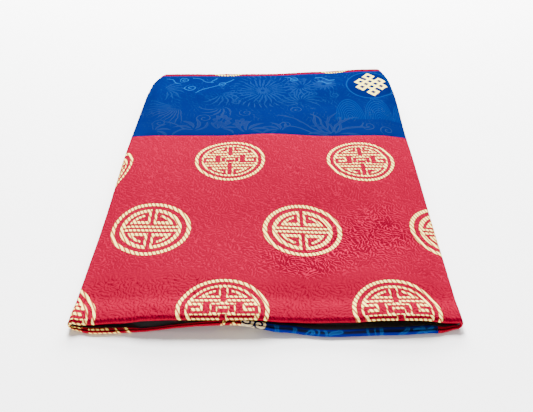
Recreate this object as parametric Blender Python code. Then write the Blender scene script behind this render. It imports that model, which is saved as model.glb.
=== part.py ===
"""Folded brocade panel with a black lining, lying flat with its mouth to the front.

Units are metres and +Z is up. The origin is under the middle of the folded panel. X runs
across the mouth and Y from the mouth to the back crest. The cloth is folded twice: its far
part turns under at the back, then both sides turn under and meet beneath at a slit.
"""

import math

import bmesh
import bpy

# Sheets of the stack
BROCADE = 0.0010
LINING = 0.0010
GAP = 0.0003

# Plan, measured from the middle of the upper layer
FRONT_Y = -0.1760
BACK_Y = 0.1580
SEAM_Y = 0.0362
BACK_SEAM_SETBACK = 0.0032
SKEW = 0.0366
BACK_SKEW = 0.0500
BACK_SKEW_START_Y = 0.0400
BACK_SKEW_RUN = 0.1200
HEM_RETURN = 0.0044
TURNED_PART_END_Y = 0.0180
SLIT_X = -0.0160
SLIT_WIDTH = 0.0004
UNDER_SEAM_X = 0.1090
LOWER_HEM_RUN = 0.0600

# Middle of the whole folded panel in that plan, where the origin lies
MIDDLE_X = 0.00065
MIDDLE_Y = -0.00769

# Half of the folded height at the side folds, kept just above the sheets that lie there
HEM_HALF = 2 * BROCADE + LINING + 2.5 * GAP
PLAIN_HALF = BROCADE + LINING + 1.5 * GAP
BACK_HALF = 2 * (BROCADE + LINING) + 3.5 * GAP
HEM_HALF_END = FRONT_Y + 0.0070
PLAIN_START = FRONT_Y + 0.0220
PLAIN_END = TURNED_PART_END_Y - 0.1250
BACK_START = TURNED_PART_END_Y - 0.0040

# Share of the loft that the turned-under part takes
INNER_LOFT = 0.5
SIDE_FALL_ROWS = (
    {"y": 0.020, "width": 0.0260},
    {"y": 0.140, "width": 0.0150},
)

# Half width of the folded panel, a row per section from front to back
WIDTH_ROWS = (
    {"y": -0.176, "left": 0.1250, "right": 0.1258},
    {"y": -0.100, "left": 0.1254, "right": 0.1264},
    {"y": 0.040, "left": 0.1276, "right": 0.1268},
    {"y": 0.120, "left": 0.1276, "right": 0.1290},
    {"y": 0.145, "left": 0.1262, "right": 0.1282},
    {"y": 0.160, "left": 0.1225, "right": 0.1250},
)

# Loft of the upper layer over the closed stack, a row per section from front to back
LOFT_ROWS = (
    {"y": -0.176, "far_left": 0.0034, "left": 0.0036, "middle": 0.0035, "right": 0.0033, "far_right": 0.0035},
    {"y": -0.140, "far_left": 0.0034, "left": 0.0035, "middle": 0.0034, "right": 0.0034, "far_right": 0.0034},
    {"y": -0.090, "far_left": 0.0034, "left": 0.0035, "middle": 0.0030, "right": 0.0012, "far_right": 0.0030},
    {"y": -0.030, "far_left": 0.0034, "left": 0.0034, "middle": 0.0034, "right": 0.0030, "far_right": 0.0034},
    {"y": 0.030, "far_left": 0.0016, "left": 0.0018, "middle": 0.0045, "right": 0.0022, "far_right": 0.0034},
    {"y": 0.080, "far_left": 0.0040, "left": 0.0042, "middle": 0.0040, "right": 0.0044, "far_right": 0.0046},
    {"y": 0.132, "far_left": 0.0046, "left": 0.0048, "middle": 0.0046, "right": 0.0056, "far_right": 0.0066},
    {"y": 0.160, "far_left": 0.0042, "left": 0.0042, "middle": 0.0040, "right": 0.0056, "far_right": 0.0071},
)
LOFT_X = {"far_left": -0.100, "left": -0.050, "middle": 0.0, "right": 0.050, "far_right": 0.100}

# The lower hem stands a little off the ground left of the slit
HEM_LIFT = 0.0031
HEM_LIFT_X = -0.0380
HEM_LIFT_HALF_WIDTH = 0.0370
HEM_LIFT_RUN = 0.0600

# How far the lower hem stands in front of the upper one, a row per place along it
HEM_STEP_ROWS = (
    {"x": -0.126, "step": 0.0005},
    {"x": -0.108, "step": 0.0045},
    {"x": -0.055, "step": 0.0015},
    {"x": -0.022, "step": 0.0010},
    {"x": 0.004, "step": 0.0050},
    {"x": 0.040, "step": 0.0075},
    {"x": 0.080, "step": 0.0065},
    {"x": 0.108, "step": 0.0050},
    {"x": 0.126, "step": 0.0010},
)

# Mesh steps
FOLD_STEPS = 6
ROLL_STEPS = 6
TOP_STEPS = 16
FLAP_STEPS = 5
EDGE_STRIP_STEPS = 1

COLOURS = {
    "red_front": (0.70, 0.05, 0.08, 1.0),
    "blue_under": (0.01, 0.10, 0.42, 1.0),
    "blue_band": (0.01, 0.10, 0.42, 1.0),
    "red_back": (0.70, 0.05, 0.08, 1.0),
    "lining": (0.012, 0.014, 0.014, 1.0),
}


def smooth(value):
    """Ease from 0 to 1 for a value between 0 and 1."""
    value = min(max(value, 0.0), 1.0)
    return value * value * (3 - 2 * value)


def from_rows(rows, column, at, key="y"):
    """One column of a table of sections, eased between its rows."""
    if at <= rows[0][key]:
        return rows[0][column]
    for first, second in zip(rows, rows[1:]):
        if at <= second[key]:
            share = smooth((at - first[key]) / (second[key] - first[key]))
            return first[column] + (second[column] - first[column]) * share
    return rows[-1][column]


def half_height(y):
    """Half of the closed stack's height at the side folds."""
    front = HEM_HALF + (PLAIN_HALF - HEM_HALF) * smooth((y - HEM_HALF_END) / (PLAIN_START - HEM_HALF_END))
    return front + (BACK_HALF - PLAIN_HALF) * smooth((y - PLAIN_END) / (BACK_START - PLAIN_END))


def loft(x, y):
    """Height that the upper layer gains over the closed stack."""
    names = list(LOFT_X)
    place = min(max(x, LOFT_X[names[0]]), LOFT_X[names[-1]])
    height = 0.0
    for first, second in zip(names, names[1:]):
        if LOFT_X[first] <= place <= LOFT_X[second]:
            share = smooth((place - LOFT_X[first]) / (LOFT_X[second] - LOFT_X[first]))
            low = from_rows(LOFT_ROWS, first, y)
            height = low + (from_rows(LOFT_ROWS, second, y) - low) * share
    side = "left" if x < 0 else "right"
    inside = from_rows(WIDTH_ROWS, side, y) - abs(x)
    return height * smooth(inside / from_rows(SIDE_FALL_ROWS, "width", y))


def lift(x, y):
    """Height of the lower layer off the ground, next to the slit at the mouth."""
    across = smooth(1 - abs(x - HEM_LIFT_X) / HEM_LIFT_HALF_WIDTH)
    return HEM_LIFT * across * smooth(1 - (y - FRONT_Y) / HEM_LIFT_RUN)


def place(station, y, depth, loft_share):
    """Point at a station across the stack, at a distance inside its outer face."""
    run, part = station
    half = half_height(y)
    left = from_rows(WIDTH_ROWS, "left", y) - half
    right = from_rows(WIDTH_ROWS, "right", y) - half
    radius = half - depth
    if run == "under_left":
        start = SLIT_X - SLIT_WIDTH / 2
        x, z, upper = start + (-left - start) * part, depth, 0.0
    elif run == "left_fold":
        turn = math.pi * part
        x, z, upper = -left - radius * math.sin(turn), half - radius * math.cos(turn), smooth(part)
    elif run == "over":
        x, z, upper = -left + (left + right) * part, 2 * half - depth, 1.0
    elif run == "right_fold":
        turn = math.pi * part
        x, z, upper = right + radius * math.sin(turn), half + radius * math.cos(turn), smooth(1 - part)
    elif run == "under_right":
        x, z, upper = right + (UNDER_SEAM_X + GAP / 2 - right) * part, depth, 0.0
    else:
        start = UNDER_SEAM_X - GAP / 2
        x, z, upper = start + (SLIT_X + SLIT_WIDTH / 2 - start) * part, depth, 0.0
    z += upper * loft_share * loft(x, y) + (1 - upper) * lift(x, y)
    step = (1 - upper) * from_rows(HEM_STEP_ROWS, "step", x, "x") * smooth(1 - (y - FRONT_Y) / LOWER_HEM_RUN)
    skew = SKEW + BACK_SKEW * smooth((y - BACK_SKEW_START_Y) / BACK_SKEW_RUN)
    return x - MIDDLE_X, y + skew * x - step - MIDDLE_Y, z


def stations(*runs):
    """Stations across the stack for the named runs, with no station twice."""
    steps = {
        "under_left": FLAP_STEPS,
        "left_fold": FOLD_STEPS,
        "over": TOP_STEPS,
        "right_fold": FOLD_STEPS,
        "under_right": EDGE_STRIP_STEPS,
        "under_middle": FLAP_STEPS,
    }
    found = []
    for run in runs:
        first = 0 if not found else 1
        found += [(run, k / steps[run]) for k in range(first, steps[run] + 1)]
    return found


def roll(y, depth, outer, inner, front):
    """Rows round a turn of the cloth: outer and inner face, each as y and depth."""
    rows = []
    for k in range(ROLL_STEPS + 1):
        turn = math.pi * k / ROLL_STEPS
        along, down = math.sin(turn), math.cos(turn)
        if front:
            rows.append(((y - outer * along, depth + outer * down), (y - inner * along, depth + inner * down)))
        else:
            rows.append(((y + outer * along, depth - outer * down), (y + inner * along, depth - inner * down)))
    return rows


def run_rows(ys, outer_depth, inner_depth):
    """Rows along a flat run of the cloth."""
    return [((y, outer_depth), (y, inner_depth)) for y in ys]


def sheet(name, across, rows, shares):
    """A closed sheet with an outer face, an inner face and a rim."""
    mesh = bmesh.new()
    outer = [[mesh.verts.new(place(s, *row[0], share)) for s in across] for row, share in zip(rows, shares)]
    inner = [[mesh.verts.new(place(s, *row[1], share)) for s in across] for row, share in zip(rows, shares)]
    last_row, last_column = len(rows) - 1, len(across) - 1
    for i in range(last_row):
        for j in range(last_column):
            mesh.faces.new((outer[i][j], outer[i][j + 1], outer[i + 1][j + 1], outer[i + 1][j]))
            mesh.faces.new((inner[i][j], inner[i + 1][j], inner[i + 1][j + 1], inner[i][j + 1]))
        mesh.faces.new((outer[i][0], outer[i + 1][0], inner[i + 1][0], inner[i][0]))
        mesh.faces.new((outer[i][-1], inner[i][-1], inner[i + 1][-1], outer[i + 1][-1]))
    for j in range(last_column):
        mesh.faces.new((outer[0][j], inner[0][j], inner[0][j + 1], outer[0][j + 1]))
        mesh.faces.new((outer[-1][j], outer[-1][j + 1], inner[-1][j + 1], inner[-1][j]))
    bmesh.ops.triangulate(mesh, faces=mesh.faces[:], quad_method="SHORT_EDGE")
    bmesh.ops.recalc_face_normals(mesh, faces=mesh.faces[:])
    data = bpy.data.meshes.new(name)
    mesh.to_mesh(data)
    mesh.free()
    data.polygons.foreach_set("use_smooth", [True] * len(data.polygons))
    body = bpy.data.objects.new(name, data)
    bpy.context.scene.collection.objects.link(body)
    material = bpy.data.materials.new(name)
    material.use_nodes = True
    shader = material.node_tree.nodes["Principled BSDF"]
    shader.inputs["Base Color"].default_value = COLOURS[name]
    shader.inputs["Roughness"].default_value = 0.6
    data.materials.append(material)
    return body


def build():
    """Build every piece of the folded panel."""
    for old in list(bpy.data.objects):
        bpy.data.objects.remove(old, do_unlink=True)

    hem_outer = BROCADE + GAP + LINING / 2
    hem_inner = GAP + LINING / 2
    hem_y = FRONT_Y + hem_outer
    return_end = FRONT_Y + HEM_RETURN
    stack = 2 * BROCADE + 2 * LINING + 3 * GAP
    crest_outer = stack / 2
    crest_y = BACK_Y - crest_outer
    back_seam = crest_y - BACK_SEAM_SETBACK

    hem = run_rows((return_end, (return_end + hem_y) / 2), 2 * hem_outer, hem_outer + hem_inner)
    hem += roll(hem_y, hem_outer, hem_outer, hem_inner, True)
    front_run = (FRONT_Y + 0.0044, HEM_HALF_END, -0.1620, PLAIN_START, -0.1250, -0.0900, -0.0600, -0.0300, -0.0150,
                 0.0000, BACK_START, 0.0260)
    red_rows = hem + run_rows(front_run + (SEAM_Y - GAP / 2,), 0.0, BROCADE)
    full = stations("under_left", "left_fold", "over", "right_fold", "under_right")
    sheet("red_front", full, red_rows, [1.0] * len(red_rows))

    under = stations("under_middle")
    sheet("blue_under", under, red_rows, [1.0] * len(red_rows))

    wide = full + stations("under_middle")[1:]
    band_rows = run_rows((SEAM_Y + GAP / 2, 0.0600, 0.0850, 0.1100, 0.1320, back_seam - GAP / 2), 0.0, BROCADE)
    sheet("blue_band", wide, band_rows, [1.0] * len(band_rows))

    turned = (0.1320, 0.1050, 0.0780, 0.0480, TURNED_PART_END_Y)
    crest = roll(crest_y, crest_outer, crest_outer, crest_outer - BROCADE, False)
    back_rows = run_rows((back_seam + GAP / 2,), 0.0, BROCADE) + crest
    back_rows += run_rows(turned, stack, stack - BROCADE)
    back_shares = [1.0] + crest_shares() + [INNER_LOFT] * len(turned)
    sheet("red_back", wide, back_rows, back_shares)

    top = BROCADE + GAP
    lining_run = (hem_y,) + front_run + (0.0500, 0.0750, 0.0950, 0.1140, 0.1320)
    lining_rows = run_rows(lining_run, top, top + LINING)
    lining_rows += roll(crest_y, crest_outer, GAP / 2 + LINING, GAP / 2, False)
    lining_rows += run_rows(turned, stack - top, stack - top - LINING)
    lining_shares = [1.0] * len(lining_run) + crest_shares() + [INNER_LOFT] * len(turned)
    sheet("lining", wide, lining_rows, lining_shares)


def crest_shares():
    """Loft share of each row round the back crest, from the upper to the inner layer."""
    return [1 + (INNER_LOFT - 1) * smooth(k / ROLL_STEPS) for k in range(ROLL_STEPS + 1)]


build()
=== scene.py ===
"""Folded brocade panel lined in black, lying flat on a pale surface.

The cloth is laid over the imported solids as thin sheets: the same folds, with seams, a rolled
hem and soft troughs. Weave, medallions and scrolls are drawn in the materials' nodes from the
cloth's own coordinates, in millimetres along and across each piece.
"""

import math

import bpy
import numpy as np
from mathutils import Matrix, Vector


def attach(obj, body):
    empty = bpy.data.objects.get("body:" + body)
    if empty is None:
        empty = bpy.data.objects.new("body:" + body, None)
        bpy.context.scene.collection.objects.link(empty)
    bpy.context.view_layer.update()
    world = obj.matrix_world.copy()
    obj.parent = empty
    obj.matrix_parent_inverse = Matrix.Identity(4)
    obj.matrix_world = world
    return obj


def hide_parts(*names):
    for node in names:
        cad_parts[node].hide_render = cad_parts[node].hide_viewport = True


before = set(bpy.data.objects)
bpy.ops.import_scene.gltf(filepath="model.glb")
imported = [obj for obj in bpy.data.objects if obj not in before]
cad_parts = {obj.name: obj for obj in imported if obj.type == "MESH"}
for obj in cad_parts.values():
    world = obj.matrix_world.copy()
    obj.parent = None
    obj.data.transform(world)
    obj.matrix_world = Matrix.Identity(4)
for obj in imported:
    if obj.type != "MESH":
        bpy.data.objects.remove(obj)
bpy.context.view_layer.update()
scene = bpy.context.scene

# Thickness of a sheet in the part's solids and the gap between two of them, in metres
SOLID_SHEET = 0.0010
GAP = 0.0003

# Plan, as in the part, measured from the middle of the upper layer
FRONT_Y = -0.1760
BACK_Y = 0.1580
SEAM_Y = 0.0362
BACK_SEAM_SETBACK = 0.0032
SKEW = 0.0366
BACK_SKEW = 0.0500
BACK_SKEW_START_Y = 0.0400
BACK_SKEW_RUN = 0.1200
HEM_RETURN = 0.0044
TURNED_PART_END_Y = 0.0180
SLIT_X = -0.0160
UNDER_SEAM_X = 0.1090
LOWER_HEM_RUN = 0.0600

# Middle of the whole folded panel in that plan, where the origin lies
MIDDLE_X = 0.00065
MIDDLE_Y = -0.00769

# Half of the folded height at the side folds, as in the part, and the places where it changes
HEM_HALF = 3 * SOLID_SHEET + 2.5 * GAP
PLAIN_HALF = 2 * SOLID_SHEET + 1.5 * GAP
BACK_HALF = 4 * SOLID_SHEET + 3.5 * GAP
STACK = 2 * PLAIN_HALF
HEM_HALF_END = FRONT_Y + 0.0070
PLAIN_START = FRONT_Y + 0.0220
PLAIN_END = TURNED_PART_END_Y - 0.1250
BACK_START = TURNED_PART_END_Y - 0.0040

# Outer radius of the rolled hem and of the back crest
HEM_RADIUS = 0.0018
CREST_RADIUS = PLAIN_HALF

# Width of the slit beneath, where the cloth's edges nearly meet, and half of the gap at a seam
SLIT_WIDTH = 0.0001
SEAM_HALF_GAP = 0.00006

# Half width of the folded panel to its left and to its right, a row per section from front to back
LEFT_ROWS = (
    (-0.176, 0.1250),
    (-0.100, 0.1254),
    (0.040, 0.1276),
    (0.120, 0.1276),
    (0.145, 0.1262),
    (0.160, 0.1225),
)
RIGHT_ROWS = (
    (-0.176, 0.1258),
    (-0.100, 0.1264),
    (0.040, 0.1268),
    (0.120, 0.1290),
    (0.145, 0.1282),
    (0.160, 0.1250),
)

# Height in millimetres that the upper layer gains over the closed stack: a row per place across, a value per
# section of LOFT_Y from front to back. At the crest it is up to 1.9 mm more than in the part.
LOFT_Y = (-0.176, -0.140, -0.090, -0.030, 0.030, 0.080, 0.132, 0.160)
LOFT_MM = {
    -0.100: (3.4, 3.4, 3.4, 3.4, 1.6, 4.0, 5.4, 6.0),
    -0.050: (3.6, 3.5, 3.5, 3.4, 1.8, 4.2, 5.0, 5.3),
    0.0: (3.5, 3.4, 3.0, 3.4, 4.5, 4.0, 4.8, 4.9),
    0.050: (3.3, 3.4, 1.2, 3.0, 2.2, 4.4, 5.9, 6.7),
    0.100: (3.5, 3.4, 3.0, 3.4, 3.4, 4.6, 7.4, 9.0),
}
LOFT_X = tuple(LOFT_MM)

# Share of that height for the turned-under part, and the width over which the height falls to the side folds
INNER_LOFT = 0.5
SIDE_FALL_ROWS = ((0.020, 0.0260), (0.140, 0.0120))

# Height of the lower layer off the ground along the mouth, a row per place, and the run over which it fades
HEM_LIFT_ROWS = (
    (-0.078, 0.0),
    (-0.041, 0.0033),
    (-0.022, 0.0038),
    (-0.005, 0.0027),
    (0.008, 0.0012),
    (0.030, 0.0),
)
HEM_LIFT_RUN = 0.0600

# How far the lower layer comes forward at the mouth, a row per place
HEM_STEP_ROWS = (
    (-0.126, 0.0005),
    (-0.108, 0.0045),
    (-0.055, 0.0015),
    (-0.022, 0.0010),
    (0.012, 0.0050),
    (0.040, 0.0075),
    (0.080, 0.0065),
    (0.108, 0.0050),
    (0.126, 0.0010),
)

# Sag of the upper hem along the mouth, a row per place, and the run over which it fades
SAG_ROWS = (
    (-0.124, 0.0008),
    (-0.106, 0.0034),
    (-0.092, 0.0028),
    (-0.075, 0.0006),
    (-0.060, 0.0),
    (-0.010, 0.0),
    (0.012, 0.0024),
    (0.029, 0.0031),
    (0.052, 0.0026),
    (0.075, 0.0009),
    (0.092, 0.0009),
    (0.112, 0.0017),
    (0.124, 0.0004),
)
SAG_RUN = 0.0750

# Thickness and depth of the lower hem as shares of the full hem, a row per place along it
LOWER_HEM_THICK = (
    (-0.125, 0.60),
    (-0.106, 0.75),
    (-0.088, 0.72),
    (-0.078, 0.62),
    (-0.050, 0.66),
    (-0.036, 0.84),
    (-0.014, 0.96),
    (0.006, 0.96),
    (0.024, 0.82),
    (0.050, 0.82),
    (0.076, 1.0),
    (0.104, 1.0),
    (0.118, 0.70),
    (0.126, 0.60),
)
LOWER_HEM_DEEP = (
    (-0.125, 0.30),
    (-0.106, 0.85),
    (-0.088, 0.70),
    (-0.078, 0.15),
    (-0.050, 0.20),
    (-0.014, 0.70),
    (0.004, 0.90),
    (0.020, 1.0),
    (0.104, 1.0),
    (0.118, 0.50),
    (0.126, 0.30),
)

# The stitched groove along the return of the rolled hem: depth, place along the cloth and half width
HEM_GROOVE = 0.0007
HEM_GROOVE_V = -0.0037
HEM_GROOVE_HALF = 0.0009

# Thickness of the woven cloth itself
BROCADE = 0.0007
LINING = 0.0006

# Depth of the lining beneath the upper face, and how far behind the hem's roll it starts
LINING_DEPTH = 0.0013
LINING_SETBACK = 0.0004

# Mesh steps along the cloth, steps round its turns, and the angle from which an edge is sharp
STEP = 0.0024
HEM_STEP = 0.0005
CREST_STEP = 0.0008
LINING_STEP = 0.0035
HEM_TURN_STEPS = 18
CREST_TURN_STEPS = 14
LINING_TURN_STEPS = 8
SHARP_ANGLE = math.radians(50)

# Runs across the stack: rough length, and how much finer than the piece's step they are
RUNS = {
    "under_left": (0.109, 1),
    "left_fold": (0.0125, 3),
    "over": (0.250, 1),
    "right_fold": (0.0125, 3),
    "under_right": (0.016, 1),
    "under_middle": (0.125, 1),
}
RED_RUNS = ("under_left", "left_fold", "over", "right_fold", "under_right")
WIDE_RUNS = RED_RUNS + ("under_middle",)


def smooth(value):
    """Ease from 0 to 1."""
    value = np.clip(value, 0.0, 1.0)
    return value * value * (3 - 2 * value)


def rows(table, at):
    """A table of pairs, eased between its rows."""
    at = np.asarray(at, float)
    keys = [row[0] for row in table]
    found = np.full(at.shape, table[0][1])
    for (a, before), (b, after) in zip(table, table[1:]):
        found = np.where(at > a, before + (after - before) * smooth((at - a) / (b - a)), found)
    return np.where(at > keys[-1], table[-1][1], found)


def half_height(y):
    """Half of the closed stack's height at the side folds."""
    front = HEM_HALF + (PLAIN_HALF - HEM_HALF) * smooth((y - HEM_HALF_END) / (PLAIN_START - HEM_HALF_END))
    return front + (BACK_HALF - PLAIN_HALF) * smooth((y - PLAIN_END) / (BACK_START - PLAIN_END))


def loft(x, y):
    """Height that the upper layer gains over the closed stack."""
    columns = [rows(tuple(zip(LOFT_Y, LOFT_MM[k])), y) / 1000 for k in LOFT_X]
    height = columns[0]
    for k, (a, b) in enumerate(zip(LOFT_X, LOFT_X[1:])):
        eased = columns[k] + (columns[k + 1] - columns[k]) * smooth((x - a) / (b - a))
        height = np.where(x > a, eased, height)
    side = np.where(x < 0, rows(LEFT_ROWS, y), rows(RIGHT_ROWS, y))
    return height * smooth((side - abs(x)) / rows(SIDE_FALL_ROWS, y))


def lift(x, y):
    """Height of the lower layer off the ground, next to the slit at the mouth."""
    return rows(HEM_LIFT_ROWS, x) * smooth(1 - (y - FRONT_Y) / HEM_LIFT_RUN)


def sag(x, y):
    """Depth of the upper hem's sag."""
    return rows(SAG_ROWS, x) * smooth(1 - (y - FRONT_Y) / SAG_RUN)


def trough(x, y, x0, y0, angle, width, reach, depth):
    """A soft hand-laid trough or, with a negative depth, a ridge."""
    c, s = math.cos(math.radians(angle)), math.sin(math.radians(angle))
    along = ((x - x0) * c + (y - y0) * s) / reach
    aside = (-(x - x0) * s + (y - y0) * c) / width
    return -depth * np.exp(-(aside**2)) * np.exp(-(along**2))


# Soft creases of the upper layer: place, direction, width, length and depth
CREASES = (
    (0.030, -0.070, 12, 0.016, 0.080, 0.0007),
    (0.060, -0.105, 4, 0.010, 0.070, 0.0006),
    (0.020, -0.140, 3, 0.014, 0.090, -0.0005),
    (-0.070, -0.020, -20, 0.014, 0.070, 0.0005),
    (-0.090, -0.110, 60, 0.012, 0.050, 0.0004),
    (0.095, -0.010, 75, 0.010, 0.060, 0.0005),
    (-0.010, 0.085, 8, 0.014, 0.100, 0.0005),
    (0.070, 0.120, 20, 0.012, 0.050, -0.0004),
    (-0.060, 0.110, -12, 0.012, 0.060, -0.0004),
)
CREASE_SIDE_FADE = 0.030
CREASE_FRONT_FADE = 0.020

# Valley along a seam and its pucker: depth, reach to each side, waves in radians per metre, and how steeply
# the valley fades at the side folds
SEAM_DEPTH = 0.00055
SEAM_REACH = 0.0016
PUCKER_DEPTH = 0.00012
PUCKER_REACH = 0.006
PUCKER_RATE = 900
PUCKER_WANDER_RATE = 210
SEAM_FADE = 20


def creases(x, y):
    """Height of the soft creases at a place on the upper layer."""
    height = sum(trough(x, y, *row) for row in CREASES)
    inside = np.minimum(rows(LEFT_ROWS, y), rows(RIGHT_ROWS, y)) - abs(x)
    return height * smooth(inside / CREASE_SIDE_FADE) * smooth((y - FRONT_Y) / CREASE_FRONT_FADE)


def seam_dip(y, seam, x):
    """The valley along a seam, with a slight pucker."""
    pucker = PUCKER_DEPTH * np.sin(x * PUCKER_RATE + np.sin(x * PUCKER_WANDER_RATE) * 2)
    valley = np.exp(-(((y - seam) / SEAM_REACH) ** 2))
    swell = np.exp(-(((y - seam) / PUCKER_REACH) ** 2))
    return -(SEAM_DEPTH + pucker) * valley + pucker * swell


def across(runs, step=STEP):
    """Stations across the stack: run name and share of the run."""
    names, shares = [], []
    for run in runs:
        run_length, finer = RUNS[run]
        count = max(2, round(run_length / (step / finer)))
        first = 1 if names else 0
        names += [run] * (count + 1 - first)
        shares += [k / count for k in range(first, count + 1)]
    return np.array(names), np.array(shares)


def place(names, shares, y, depth, loft_share):
    """Points across the stack at one row, with the cloth's coordinate u."""
    y = np.broadcast_to(np.asarray(y, float), shares.shape)
    depth = np.broadcast_to(np.asarray(depth, float), shares.shape)
    half = half_height(y)
    left = rows(LEFT_ROWS, y) - half
    right = rows(RIGHT_ROWS, y) - half
    radius = half - depth
    x = np.zeros(len(names))
    z = np.zeros(len(names))
    u = np.zeros(len(names))
    upper = np.zeros(len(names))
    turn = math.pi * shares
    fold = math.pi * half

    run = names == "under_left"
    start = SLIT_X - SLIT_WIDTH / 2
    at = start + (-left - start) * shares
    x[run], z[run], u[run] = at[run], depth[run], (-left - fold - (at + left))[run]
    run = names == "left_fold"
    x[run] = (-left - radius * np.sin(turn))[run]
    z[run] = (half - radius * np.cos(turn))[run]
    u[run] = (-left - fold * (1 - shares))[run]
    upper[run] = smooth(shares)[run]
    run = names == "over"
    at = -left + (left + right) * shares
    x[run], z[run], u[run], upper[run] = at[run], (2 * half - depth)[run], at[run], 1.0
    run = names == "right_fold"
    x[run] = (right + radius * np.sin(turn))[run]
    z[run] = (half + radius * np.cos(turn))[run]
    u[run] = (right + fold * shares)[run]
    upper[run] = smooth(1 - shares)[run]
    run = names == "under_right"
    at = right + (UNDER_SEAM_X + GAP / 2 - right) * shares
    x[run], z[run], u[run] = at[run], depth[run], (right + fold + right - at)[run]
    run = names == "under_middle"
    start = UNDER_SEAM_X - GAP / 2
    at = start + (SLIT_X + SLIT_WIDTH / 2 - start) * shares
    x[run], z[run], u[run] = at[run], depth[run], (right + fold + right - at)[run]

    z += upper * loft_share * loft(x, y) + (1 - upper) * lift(x, y)
    z += np.where(names == "over", loft_share * (creases(x, y) - sag(x, y)), 0.0)
    step = (1 - upper) * rows(HEM_STEP_ROWS, x) * smooth(1 - (y - FRONT_Y) / LOWER_HEM_RUN)
    skew = SKEW + BACK_SKEW * smooth((y - BACK_SKEW_START_Y) / BACK_SKEW_RUN)
    return np.stack([x - MIDDLE_X, y + skew * x - step - MIDDLE_Y, z], 1), u, x


def hem_dent(v):
    """Depth of the stitched groove at a place along the cloth."""
    return HEM_GROOVE * math.exp(-(((v - HEM_GROOVE_V) / HEM_GROOVE_HALF) ** 2))


def flat_run(start, end, outer, inner, v_start, step=STEP, grooved=False):
    """Rows along a flat run: y, outer and inner depth, and the cloth's coordinate v."""
    count = max(1, round(abs(end - start) / step))
    found = []
    for k in range(count + 1):
        y = start + (end - start) * k / count
        v = v_start + abs(end - start) * k / count
        pull = hem_dent(v) if grooved else 0.0
        found.append((y, outer - pull, y, inner - pull, v))
    return found


def turn_rows(y, depth, outer, inner, front, v_start, steps):
    """Rows round a turn of the cloth."""
    found = []
    for k in range(steps + 1):
        angle = math.pi * k / steps
        along, down = math.sin(angle), math.cos(angle)
        if front:
            along, down = -along, -down
        v = v_start + outer * angle
        pull = hem_dent(v) if front else 0.0
        a, b = outer - pull, inner - pull
        found.append((y + a * along, depth - a * down, y + b * along, depth - b * down, v))
    return found


# Thickness and depth of the hem where a side fold meets the lower layer, and how much is lost in mid-fold
FOLD_THICK = 0.60
FOLD_DEEP = 0.30
FOLD_THICK_LOSS = 0.22
FOLD_DEEP_LOSS = 0.30


def hem_size(names, parts):
    """Thickness and depth of the hem at each station, as shares of the full hem."""
    _, _, x = place(names, parts, FRONT_Y, 0.0, 1.0)
    thick = np.where(names == "over", 1.0, rows(LOWER_HEM_THICK, x))
    deep = np.where(names == "over", 1.0, rows(LOWER_HEM_DEEP, x))
    for run, toward_over in (("left_fold", parts), ("right_fold", 1 - parts)):
        at = names == run
        blend = smooth(toward_over)
        middle = np.sin(math.pi * toward_over)
        thick = np.where(at, FOLD_THICK + (1 - FOLD_THICK) * blend - FOLD_THICK_LOSS * middle, thick)
        deep = np.where(at, FOLD_DEEP + (1 - FOLD_DEEP) * blend - FOLD_DEEP_LOSS * middle, deep)
    return thick, deep


def sized(y, depth, thick, deep):
    """A place in the hem's section, brought to the hem's size at each station."""
    turned = np.where(y > FRONT_Y + HEM_RADIUS, (y - FRONT_Y - HEM_RADIUS) * deep, 0.0)
    rolled = min(y - FRONT_Y, HEM_RADIUS)
    return FRONT_Y + rolled * thick + turned, depth * thick


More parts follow.
